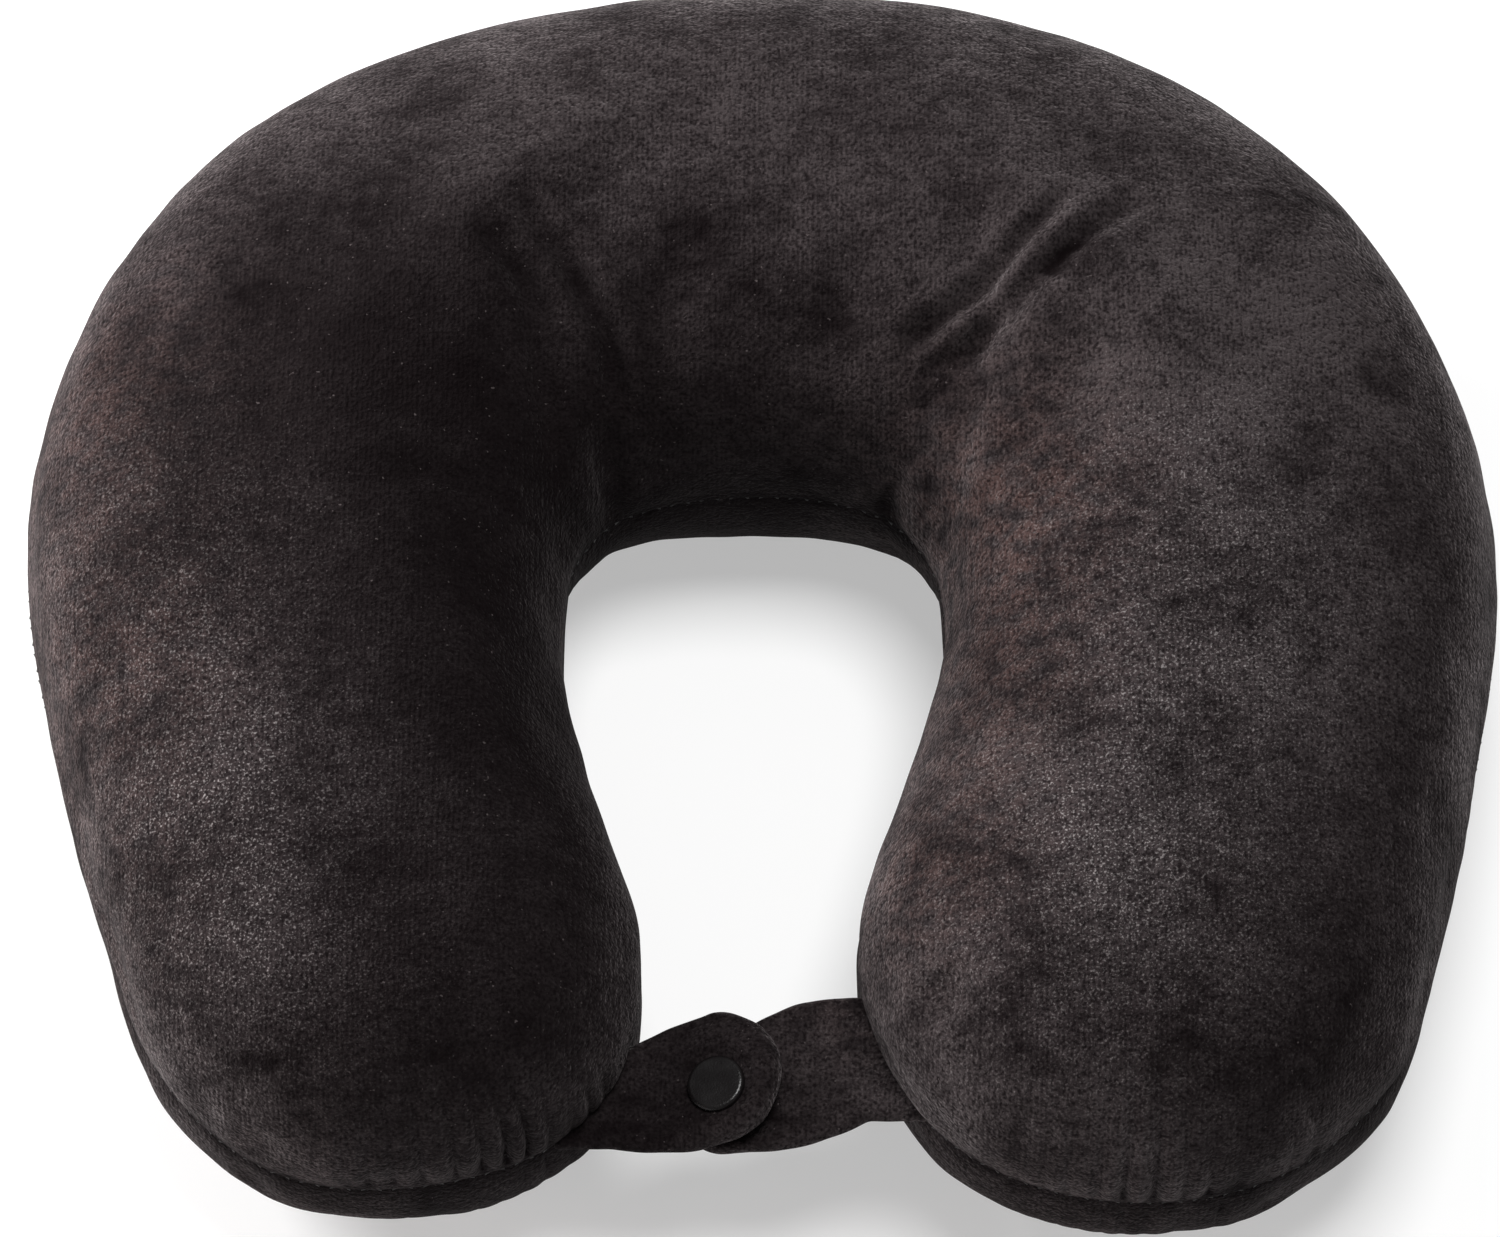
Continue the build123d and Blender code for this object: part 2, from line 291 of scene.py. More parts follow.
def close_and_fill(open_points, closed_points, faces, seam):
    """Cloth simulation: the open cover is blown up while its seam is drawn in to the closed outline."""
    body = make_object("closing", open_points, faces)
    body.shape_key_add(name="open")
    key = body.shape_key_add(name="closed")
    key.data.foreach_set("co", closed_points.astype(np.float32).ravel())
    key.value = 0.0
    key.keyframe_insert("value", frame=1)
    key.value = 1.0
    key.keyframe_insert("value", frame=CLOSED_BY_FRAME)
    group = body.vertex_groups.new(name="seam")
    group.add([int(i) for i in seam], 1.0, "REPLACE")
    cloth = body.modifiers.new("Cloth", "CLOTH")
    cloth.point_cache.frame_end = SIM_FRAMES
    cloth.collision_settings.use_collision = False
    settings = cloth.settings
    settings.vertex_group_mass = "seam"
    settings.mass = 0.001
    settings.tension_stiffness = 40
    settings.compression_stiffness = 40
    settings.shear_stiffness = 13
    settings.bending_stiffness = 0.02
    settings.use_pressure = True
    settings.uniform_pressure_force = 4
    settings.effector_weights.gravity = 0.0
    scene = bpy.context.scene
    scene.frame_start, scene.frame_end = 1, SIM_FRAMES
    for number in range(1, SIM_FRAMES + 1):
        scene.frame_set(number)
    graph = bpy.context.evaluated_depsgraph_get()
    filled = read_points(body.evaluated_get(graph))
    bpy.data.objects.remove(body)
    return filled


s_grid, along_grid, across_grid = u_grid()
rho_grid = np.hypot(along_grid, across_grid)
sewn = Sewn(s_grid.shape)
UPSIDE_DOWN = np.array((1.0, 1.0, -1.0))


def both_halves(values):
    """A value per skin vertex from a value per grid point, the same on both halves."""
    return sewn.merge(values, values)


def skin_of(section, bend=1.0, excess=0.0):
    """The whole skin about the seam plane. section, bend and excess are as for cushion_points."""
    top = cushion_points(section, s_grid, along_grid, across_grid, bend, excess)
    return sewn.merge(top, top * UPSIDE_DOWN)


closed_skin = skin_of(EMPTY_SECTION)
open_skin = skin_of(EMPTY_SECTION, OPEN_BEND, EDGE_EXCESS)
filled_skin = close_and_fill(open_skin, closed_skin, sewn.faces(), sewn.top[sewn.edge])

# ---------------------------------------------------------------- settling on the floor

FOLD_ROUNDS = 50  # of smoothing: what it takes away is the folds
CALM_REACH = 0.035  # the simulation's folds fade out this close to the middle of the back
SEAM_CALM = 0.22  # and this close to the seam, as a share of the way to the crown
FLOOR_SOFTNESS = 0.0025  # height over which the cushion rounds off onto the floor

# The cushion isn't quite symmetrical. Each row moves it in plan: about which point, how far, in what reach
PUSHES = (
    ((-0.038, -0.030), (-0.0090, 0.0), 0.036),
    ((-0.033, -0.078), (-0.0060, 0.0), 0.036),
    ((0.040, -0.030), (0.0045, 0.0), 0.036),
    ((-0.048, 0.020), (0.0030, -0.0040), 0.022),
    ((0.046, 0.020), (-0.0065, -0.0045), 0.022),
    ((-0.115, 0.105), (-0.0035, 0.0010), 0.045),
    ((-0.150, 0.055), (-0.0025, 0.0), 0.050),
    ((-0.130, -0.120), (0.0040, 0.0050), 0.050),
    ((-0.070, -0.140), (-0.0010, 0.0070), 0.040),
    ((0.155, -0.055), (0.0020, 0.0), 0.045),
    ((0.125, -0.130), (0.0005, 0.0030), 0.050),
    ((0.070, -0.140), (-0.0010, 0.0040), 0.040),
)


def smoothed(field, rounds):
    """A vector per skin vertex, averaged with its neighbours that many times but kept at the seam."""
    result = field.copy()
    for table in (sewn.top, sewn.bottom):
        part = field[table]
        for _ in range(rounds):
            around = part[:-2, 1:-1] + part[2:, 1:-1] + part[1:-1, :-2] + part[1:-1, 2:]
            part[1:-1, 1:-1] = around / 4
        result[table] = part
    return result


def folded_skin():
    """The full cushion with the simulation's folds on it."""
    moved = filled_skin - closed_skin
    keep = 1 - np.exp(-((s_grid / CALM_REACH) ** 2))
    keep = keep * smooth_step((1 - rho_grid) / SEAM_CALM)
    return skin_of(FULL_SECTION) + both_halves(keep) * (moved - smoothed(moved, FOLD_ROUNDS))


def soften_floor(z):
    """Heights about the seam, with what would sink below the floor pressed flat on it."""
    return FLOOR_SOFTNESS * np.logaddexp(0, (z + SEAM_Z) / FLOOR_SOFTNESS) - SEAM_Z


def settle(points):
    """The filled skin as it lies on the floor."""
    settled = points.copy()
    settled[:, 2] = soften_floor(settled[:, 2]) + SEAM_Z
    moved = np.zeros_like(settled[:, :2])
    for place, move, reach in PUSHES:
        away = np.linalg.norm(settled[:, :2] - place, axis=1)
        moved += np.exp(-((away / reach) ** 2))[:, None] * move
    settled[:, :2] += moved
    return settled


def pull_seam(points, rho):
    """Draw the seam in towards the middle line, so that the panels swell on both sides of it."""
    pull = SEAM_PULL * np.exp(-(1 - rho) * GIRTH / SEAM_REACH)
    return points - pull[:, None] * outward_skin


middle, ahead_grid, outward_grid = middle_line(s_grid)
step_out = along_grid[..., None] * ahead_grid + across_grid[..., None] * outward_grid
step_out = step_out / np.maximum(rho_grid, TINY)[..., None]
outward_skin = both_halves(np.concatenate([step_out, np.zeros_like(step_out[..., :1])], -1))

# Round the arms' ends: "end" is 1 straight ahead of an arm and 0 beside it, and "round" is the distance along
# the seam, which is s on the arms and goes on to the middle of each end
round_end = along_grid != 0
end_grid = np.where(round_end, np.abs(along_grid) / np.maximum(rho_grid, TINY), 0.0)
from_side = math.pi / 2 - np.abs(np.arctan2(across_grid, np.maximum(np.abs(along_grid), TINY)))
round_grid = s_grid + np.sign(s_grid) * np.where(round_end, BAND / 2 * from_side, 0.0)

skin_values = {
    "s": both_halves(s_grid)[:, 0],
    "rho": both_halves(rho_grid)[:, 0],
    "end": both_halves(end_grid)[:, 0],
    "round": both_halves(round_grid)[:, 0],
}
skin = pull_seam(settle(folded_skin()), skin_values["rho"])

# ---------------------------------------------------------------- creases, pleats, and painted light and shade

# Creases in the cloth: points on the crease in plan, its depth and its half width
CREASES = (
    (((-0.0526, 0.0733), (-0.0418, 0.0588), (-0.0331, 0.0449), (-0.0310, 0.0300)), 0.0024, 0.0027),
    (((-0.0620, 0.0680), (-0.0450, 0.0470)), 0.0013, 0.0030),
    (((-0.0340, 0.0290), (-0.0320, 0.0150)), 0.0018, 0.0030),
    (((0.0670, 0.0740), (0.0470, 0.0530), (0.0300, 0.0420)), 0.0026, 0.0024),
    (((0.0820, 0.0740), (0.0644, 0.0587), (0.0330, 0.0280)), 0.0024, 0.0028),
    (((0.0600, 0.0590), (0.0440, 0.0420), (0.0330, 0.0350)), 0.0014, 0.0022),
    (((0.0240, 0.0660), (0.0110, 0.0370)), 0.0016, 0.0058),
    (((-0.0150, 0.0710), (-0.0245, 0.0350)), 0.0012, 0.0058),
    (((0.0255, 0.0220), (0.0270, 0.0110)), 0.0022, 0.0030),
    (((0.0360, -0.1020), (0.0390, -0.1120)), 0.0022, 0.0045),
)

RIDGE_HEIGHT = 0.25  # of the ridges beside a crease, as a share of its depth
RIDGE_PLACE = 2.0  # from the middle of the crease, in half widths
DEEP_CREASE = 0.0022  # a crease this deep gets the darkest painted shade
RIDGE_SHADE = -0.5  # the most painted light on a ridge, on the same scale

# Painted light and shade in broad areas of the pile: about which point, lighter or darker, in what reach
PAINTED_LIGHT_AND_SHADE = (
    ((-0.080, 0.046), -1.1, 0.036),
    ((-0.052, 0.018), -1.6, 0.034),
    ((-0.100, 0.022), -1.2, 0.032),
    ((-0.092, -0.020), -0.7, 0.026),
    ((-0.048, -0.035), -2.0, 0.034),
    ((-0.057, -0.100), -1.7, 0.040),
    ((-0.003, 0.026), -1.0, 0.032),
    ((0.098, 0.010), 0.5, 0.060),
    ((0.110, 0.060), 0.1, 0.040),
    ((0.060, -0.070), 0.2, 0.040),
    ((0.040, -0.025), -0.6, 0.022),
    ((-0.135, -0.030), -0.15, 0.045),
    ((-0.150, -0.100), -0.6, 0.030),
    ((0.152, 0.000), -0.9, 0.030),
    ((0.140, -0.065), -0.5, 0.035),
    ((0.125, -0.115), -0.8, 0.040),
)
# Where the fibres' tips get painted glints, as above
PAINTED_GLINT_SPOTS = (
    ((-0.112, -0.085), 1.0, 0.042),
    ((-0.125, -0.010), 0.6, 0.040),
    ((0.072, -0.090), 0.6, 0.042),
    ((0.088, -0.020), 0.5, 0.045),
)
# Where painted warm light makes the cloth look reddish, as above
PAINTED_WARM_LIGHT = (
    ((-0.150, 0.030), 0.9, 0.035),
    ((-0.145, -0.035), 0.8, 0.032),
    ((-0.140, -0.090), 0.5, 0.025),
    ((0.048, 0.004), 1.1, 0.026),
    ((0.042, -0.035), 1.0, 0.024),
    ((0.032, -0.078), 0.8, 0.022),
)
BOTTOM_PAINTED_SHADE = -0.6  # painted shade over the whole bottom panel
SEAM_SHADE = 1.5  # painted shade in the groove of the seam, where a deep crease's painted shade is 1
SEAM_SHADE_REACH = 0.0026

PUCKER_PITCH = 0.011  # of the small puckers where the panels are eased round the arms' ends
PUCKER_DEPTH = 0.0018
PUCKER_REACH = 0.020
PUCKER_LENGTH = 0.080  # a pucker keeps its shape over about this distance from the seam
PUCKER_START = 0.003  # puckers and pleats fade out this close to the seam

# Sharper pleats where the cover is gathered hardest: about which point, how much, in what reach
PLEATS = (
    ((-0.054, -0.131), 1.0, 0.024),
    ((0.084, -0.134), 1.0, 0.024),
)
PLEAT_PITCH = 0.0060
PLEAT_DEPTH = 0.0032
PLEAT_LENGTH = 0.320  # and a pleat over this
PLEAT_WANDER = (2.0, 1.5)  # noise shifts the pleats by so many radians, with lumps of so many pucker pitches
PLEAT_VARIETY = (1.3, 1.1)  # and changes their height by such a share, with lumps of that size
PLEAT_ROUNDNESS = 0.7  # power of the wave: below 1 it has round tops and sharp valleys
PLEAT_LEVEL = 0.8  # the height of the wave that lies level with the cloth

# The filling is a little uneven under the cloth: height and size of the lumps
RUMPLES = ((0.00070, 0.022), (0.00028, 0.009))
WORK_START = 0.006  # creases and lumps fade out this close to the seam
FLOOR_GAP = 0.0003  # the cloth stays this far above the floor


def spots(plan, table):
    """Sum of soft round spots at each point in plan. Each row is a spot's place, amount and reach."""
    total = np.zeros(len(plan))
    for place, amount, reach in table:
        total += amount * np.exp(-((np.linalg.norm(plan - place, axis=1) / reach) ** 2))
    return total


def crease_depth(plan, line, depth, half_width):
    """Depth of one crease at each point in plan: a valley with low ridges along it, and faint ends."""
    nearest = np.full(len(plan), np.inf)
    share = np.zeros(len(plan))
    corners = np.array(line)
    for number, (start, end) in enumerate(zip(corners[:-1], corners[1:])):
        run = end - start
        t = np.clip((plan - start) @ run / (run @ run), 0, 1)
        distance = np.linalg.norm(plan - start - t[:, None] * run, axis=1)
        closer = distance < nearest
        nearest = np.where(closer, distance, nearest)
        share = np.where(closer, (number + t) / (len(corners) - 1), share)
    d = nearest / half_width
    fade = np.sqrt(np.sin(math.pi * share).clip(0))
    return depth * fade * (np.exp(-(d**2)) - RIDGE_HEIGHT * np.exp(-((d - RIDGE_PLACE) ** 2)))


def distance_from_seam(obj):
    return (1 - read_attribute(obj, "rho")) * GIRTH


def puckers(obj, pleating, seed):
    """Height at each vertex of the puckers and pleats at the arms' ends, which run square to the seam."""
    from_seam = distance_from_seam(obj)
    round_seam = read_attribute(obj, "round")
    seeds = np.full(len(from_seam), seed)
    loose = lumps(np.stack([round_seam / PUCKER_PITCH, from_seam / PUCKER_LENGTH, seeds], -1), 1.0)
    straight = np.stack([round_seam / PUCKER_PITCH, from_seam / PLEAT_LENGTH, seeds], -1)
    shift, shift_size = PLEAT_WANDER
    change, change_size = PLEAT_VARIETY
    phase = math.pi * round_seam / PLEAT_PITCH + shift * lumps(straight, shift_size)
    wave = np.abs(np.sin(phase)) ** PLEAT_ROUNDNESS - PLEAT_LEVEL
    wave *= 1.0 + change * lumps(straight, change_size)
    heights = PUCKER_DEPTH * read_attribute(obj, "end") * loose
    heights += PLEAT_DEPTH * spots(read_points(obj)[:, :2], PLEATS) * wave
    return pleating * heights * np.exp(-from_seam / PUCKER_REACH) * smooth_step(from_seam / PUCKER_START)


def work_cloth(obj, creases, pleating, seed):
    """Move one panel's vertices along their normals: creases, pleats and lumps, but never at the seam.

    The "crease" attribute keeps painted shade for the material: darker in the folds and the seam's groove,
    lighter on the ridges beside a crease.
    """
    points = read_points(obj)
    from_seam = distance_from_seam(obj)
    folds = puckers(obj, pleating, seed)
    for line, depth, half_width in creases:
        folds -= crease_depth(points[:, :2], line, depth, half_width)
    seam_shade = SEAM_SHADE * np.exp(-((from_seam / SEAM_SHADE_REACH) ** 2))
    store_number(obj, "crease", np.clip(-folds / DEEP_CREASE, RIDGE_SHADE, 1.0) + seam_shade)
    moved = folds + sum(height * lumps(points, size, seed) for height, size in RUMPLES)
    moved *= smooth_step(from_seam / WORK_START)
    points += moved[:, None] * read_normals(obj)
    points[:, 2] = np.maximum(points[:, 2], FLOOR_GAP)
    write_points(obj, points)


# ---------------------------------------------------------------- cover, filling and stitches

THREAD_RADIUS = 0.0003
THREAD_SIDES = 6
STITCH_POINTS = 7
STITCH_PITCH = 0.0065  # along the seam
SEAM_ENDS = 0.004  # from where the seam's ring starts to the first stitch, and from the last one to its end
CLOSING_PITCH = 0.007  # of the hand stitches that close the filling opening
CLOSING_SLANT = 1.2  # radians, from along the seam to across it
CLOSING_REACH = 0.01  # how near to the CAD's closing thread, in depth, the seam is looked for


def store_cloth(obj, nap=0.0):
    """Keep each vertex's place at rest, its painted light and shade, its painted warm light and its painted
    glint amount, for the material.
    """
    points = read_points(obj)
    layer = obj.data.attributes.new("cloth", "FLOAT_VECTOR", "POINT")
    layer.data.foreach_set("vector", points.astype(np.float32).ravel())
    for key, table, base in (("nap", PAINTED_LIGHT_AND_SHADE, nap), ("warmth", PAINTED_WARM_LIGHT, 0.0), ("sparkle", PAINTED_GLINT_SPOTS, 0.0)):
        store_number(obj, key, base + spots(points[:, :2], table))


def panel(name, table, flip, creases, pleating, nap, seed):
    """One cover panel, cut from the skin. pleating is the share of the full pleats that it gets."""
    used = np.unique(table)
    order = np.full(len(skin), -1)
    order[used] = np.arange(len(used))
    values = {key: value[used] for key, value in skin_values.items()}
    obj = make_object(name, skin[used], order[Sewn.quads(table, flip)], values)
    subdivide(obj, COVER_SUBDIVISIONS)
    work_cloth(obj, creases, pleating, seed)
    store_cloth(obj, nap)
    return obj


def blend_along_u(obj):
    """Bake a piece's transform, and work out from its s a weight that spreads evenly round the back; the
    weight is not used.
    """
    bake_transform(obj)
    weight = smooth_step((BLEND_REACH - read_attribute(obj, "s")) / (2 * BLEND_REACH))


def sunk_skin(inset):
    """The skin drawn in towards the middle line of the tube."""
    line = np.concatenate([both_halves(middle), np.full((len(skin), 1), SEAM_Z)], -1)
    reach = skin - line
    distance = np.maximum(np.linalg.norm(reach, axis=1), TINY)[:, None]
    return line + reach * (1 - inset / distance)


cover_top = panel("cover_top", sewn.top, flip=False, creases=CREASES, pleating=1.0, nap=0.0, seed=1.7)
cover_bottom = panel(
    "cover_bottom", sewn.bottom, flip=True, creases=(), pleating=0.25, nap=BOTTOM_PAINTED_SHADE, seed=5.3
)
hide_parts("top_panel")
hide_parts("bottom_panel")

filling = make_object("filling", sunk_skin(FILL_INSET), sewn.faces(), skin_values)
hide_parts("fill_left", "fill_right")


def seam_ring():
    """Positions along the seam, closed, with the level outward direction, s and running length at each."""
    table = sewn.top
    border = [table[0], table[1:, -1], table[-1, -2::-1], table[-2::-1, 0]]
    ring = np.concatenate(border)
    points = skin[ring]
    length = np.concatenate([[0], np.cumsum(np.linalg.norm(np.diff(points, axis=0), axis=1))])
    return points, outward_skin[ring], skin_values["s"][ring], length


def thread_mesh(name, strands, s_values):
    """A thread as one mesh: a tube along each strand, with the strand's s at each vertex."""
    turns = np.arange(THREAD_SIDES) * 2 * math.pi / THREAD_SIDES
    off_axis = (0.3, 0.2, 0.93)  # a direction that no strand runs in
    points, faces, s_all = [], [], []
    for strand, s in zip(strands, s_values):
        ahead = np.gradient(strand, axis=0)
        ahead /= np.linalg.norm(ahead, axis=1)[:, None]
        side = np.cross(ahead, off_axis)
        side /= np.linalg.norm(side, axis=1)[:, None]
        up = np.cross(side, ahead)
        spokes = np.cos(turns)[:, None] * side[:, None] + np.sin(turns)[:, None] * up[:, None]
        tube = strand[:, None] + THREAD_RADIUS * spokes
        numbers = len(s_all) + np.arange(len(strand) * THREAD_SIDES).reshape(-1, THREAD_SIDES)
        closed = np.concatenate([numbers, numbers[:, :1]], 1)
        points.append(tube.reshape(-1, 3))
        faces.append(Sewn.quads(closed, True))
        s_all += [s] * numbers.size
    return make_object(name, np.concatenate(points), np.concatenate(faces), {"s": s_all})


def stitches(name, first, last, pitch, half_length, slant, lift):
    """Stitches on the seam, one every pitch from first to last along it.

    slant turns them across the seam, and lift bows their middles out from it.
    """
    points, outward, s, length = seam_ring()
    strands, s_values = [], []
    t = np.linspace(-1, 1, STITCH_POINTS)
    for centre in np.arange(first, last, pitch):
        on_ring = centre + half_length * t * math.cos(slant)
        strand = np.stack([np.interp(on_ring, length, points[:, k]) for k in range(3)], -1)
        out = np.stack([np.interp(on_ring, length, outward[:, k]) for k in range(3)], -1)
        strand += out * (lift * (1 - t**2))[:, None]
        strand[:, 2] += half_length * t * math.sin(slant)
        strands.append(strand)
        s_values.append(float(np.interp(centre, length, s)))
    return thread_mesh(name, strands, s_values)


def closing_ends():
    """Where the closing stitches start and end along the seam's ring."""
    points, _, _, length = seam_ring()
    low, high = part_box("closing_thread")
    at_back = points[:, 1] > low.y - CLOSING_REACH
    ends = [length[at_back][np.argmin(np.abs(points[at_back, 0] - x))] for x in (low.x, high.x)]
    return min(ends), max(ends)


seam_length = seam_ring()[-1][-1]
seam_stitches = stitches(
    "seam_stitches",
    first=SEAM_ENDS,
    last=seam_length - SEAM_ENDS,
    pitch=STITCH_PITCH,
    half_length=0.0022,
    slant=0.0,
    lift=-0.0004,
)
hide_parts("seam_thread")

closing_first, closing_last = closing_ends()
closing_stitches = stitches(
    "closing_stitches",
    first=closing_first,
    last=closing_last,
    pitch=CLOSING_PITCH,
    half_length=0.0020,
    slant=CLOSING_SLANT,
    lift=0.0004,
)
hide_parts("closing_thread")

for piece in (cover_top, cover_bottom, filling, seam_stitches, closing_stitches):
    blend_along_u(piece)

# ---------------------------------------------------------------- strap

TAB_PITCH = 0.0111  # between the middles of the two tabs, square to them
TAB_HALF = 0.0020  # half a tab's thickness under the snap
TAB_PUFF = 0.0012  # the padding that swells round the snap
TAB_CURL = 0.0024  # each tab's edge curls this far towards the other tab's plane
CURL_START = 0.8  # the curl grows over this share of the way from the fold line to the snap
CURL_POWER = 1.5
TAB_CELL = 0.0012
TAB_SPAN = 0.05  # further than either tab reaches from its fold line
TAB_STEPS = 2001
EDGE_ROUND = 0.0026  # the tab rounds off this close to its edge
SEAT_RADIUS = 0.0064  # of the flat place under the snap
SEAT_SLOPE = 0.0028
FOLD_REACH = 0.004  # to either side of the fold line
ROOT_LENGTH = 0.022  # of the part that runs on into the arm's seam
LAYER_HALF = 0.0004  # half the interlining's thickness
LAYER_INSET = 0.0035
STRAP_RUMPLE = 0.00035
STRAP_LUMP = 0.006


class Tab:
    """One tab of the strap. p is the distance along it from its fold line, and q the distance to +Y."""

    def __init__(self, side, snap_p, tip, root, curl):
        joints = {joint["name"]: np.array(joint["pos_m"]) for joint in frame["joints"]}
        self.fold = joints[side + "_tab_fold"]
        span = joints["right_tab_fold"][0] - joints["left_tab_fold"][0]
        self.rise = math.asin(TAB_PITCH / span)
        self.way = 1.0 if side == "left" else -1.0
        self.side, self.snap_p, self.curl = side, snap_p, curl
        self.tip_p, self.tip_q, self.tip_radius = tip
        self.root_p, self.root_q, self.root_width, self.belly = root

    def grid(self, inset, start):
        """p, q and the distance to the outline at each grid point. inset shrinks the outline all round."""
        tip = self.tip_radius - inset
        straight = round((self.tip_p - start) / TAB_CELL)
        ring = round(tip / TAB_CELL)
        rows, columns = np.meshgrid(
            np.arange(straight + ring + 1), np.arange(-ring, ring + 1), indexing="ij"
        )
        along, across = half_disc(np.clip(rows - straight, 0, None) / ring, columns / ring)
        p = start + np.clip(rows / straight, 0, 1) * (self.tip_p - start)
        spread = np.clip((p - self.root_p) / (self.tip_p - self.root_p), 0, 1)
        half_width = self.root_width / 2 - inset
        half_width = half_width + (tip - half_width) * spread + self.belly * np.sin(math.pi * spread)
        q = across * half_width + self.root_q + (self.tip_q - self.root_q) * spread
        return p + along * tip, q, (1 - np.hypot(along, across)) * half_width

    def middle(self, p, q):
        """Point and upward normal of the tab's middle surface at p, q."""
        steps = np.linspace(-TAB_SPAN, TAB_SPAN, TAB_STEPS)
        slope = self.rise * self.way * smooth_step((steps + FOLD_REACH) / (2 * FOLD_REACH))
        step = steps[1] - steps[0]
        run = np.cumsum(np.cos(slope)) * step
        climb = np.cumsum(np.sin(slope)) * step
        run = run - np.interp(0, steps, run)
        climb = climb - climb[0]
        angle = np.interp(p, steps, slope)
        tilt = np.stack([-self.way * np.sin(angle), 0 * angle, np.cos(angle)], -1)
        x = self.fold[0] + self.way * np.interp(p, steps, run)
        z = self.fold[2] + np.interp(p, steps, climb)
        from_snap = np.hypot(p - self.snap_p, q)
        outside = np.clip((from_snap - SEAT_RADIUS) / (self.tip_radius - SEAT_RADIUS), 0, 1)
        curled = self.curl * outside**CURL_POWER * smooth_step(p / (CURL_START * self.snap_p))
        return np.stack([x, self.fold[1] + q, z], -1) + curled[..., None] * tilt, tilt

    def shell(self, name, inset, start, half_thickness):
        """A closed sheet along the tab, half_thickness(p, q, distance to the edge) thick to either side."""
        p, q, edge = self.grid(inset, start)
        middle_points, tilt = self.middle(p, q)
        lift = half_thickness(p, q, edge)[..., None] * tilt
        sheet = Sewn(p.shape)
        values = {"p": sheet.merge(p, p)[:, 0], "q": sheet.merge(q, q)[:, 0]}
        points = sheet.merge(middle_points + lift, middle_points - lift)
        flip = self.way < 0
        faces = np.concatenate([sheet.quads(sheet.top, flip), sheet.quads(sheet.bottom, not flip)])
        return subdivide(make_object(name, points, faces, values), levels=1)

    def padding(self, p, q, edge):
        """Half thickness of the padded tab: flat under the snap, swollen round it, rounded at its edge."""
        from_snap = np.hypot(p - self.snap_p, q)
        swell = TAB_PUFF * smooth_step((from_snap - SEAT_RADIUS) / SEAT_SLOPE)
        swell = swell * smooth_step(p / self.snap_p)
        rounded = np.sqrt(1 - np.clip(1 - edge / EDGE_ROUND, 0, 1) ** 2)
        return (TAB_HALF + swell) * rounded

    def build(self):
        """The tab's cloth, which bends at the fold line, and its interlining, which moves with the tab."""
        side_body, tab_body = self.side + "_side", self.side + "_tab"
        strap = self.shell(self.side + "_strap", 0.0, -ROOT_LENGTH, self.padding)
        work_strap(strap, self)
        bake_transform(strap)
        parts = ("_tab_root", "_tab_face", "_tab_back", "_tab_thread")
        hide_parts(*(self.side + part for part in parts))
        layer = self.shell(
            self.side + "_interlining", LAYER_INSET, LAYER_INSET, lambda p, q, edge: LAYER_HALF + 0 * p
        )
        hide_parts(self.side + "_tab_interlining")
        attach(layer, tab_body)
        return strap, layer


def work_strap(obj, tab):
    """Small unevenness in the tab's padding, away from the snap."""
    points = read_points(obj)
    p, q = read_attribute(obj, "p"), read_attribute(obj, "q")
    clear = smooth_step((np.hypot(p - tab.snap_p, q) - SEAT_RADIUS) / SEAT_SLOPE)
    moved = STRAP_RUMPLE * lumps(points, STRAP_LUMP, seed=2.2 + tab.way) * clear
    write_points(obj, points + moved[:, None] * read_normals(obj))
    store_cloth(obj)


# A tip is its centre's p and q and its radius. A root is its p and q, its width, and how far each edge bulges
# on the way to the tip
left_tab = Tab(
    "left",
    snap_p=0.0133,
    tip=(0.0110, 0.0030, 0.0155),
    root=(-0.010, -0.0020, 0.021, 0.0010),
    curl=-TAB_CURL,
)
right_tab = Tab(
    "right",
    snap_p=0.0251,
    tip=(0.0251, 0.0020, 0.0130),
    root=(-0.004, 0.0082, 0.029, 0.0028),
    curl=TAB_CURL,
)
left_strap, left_layer = left_tab.build()
right_strap, right_layer = right_tab.build()

# ---------------------------------------------------------------- materials


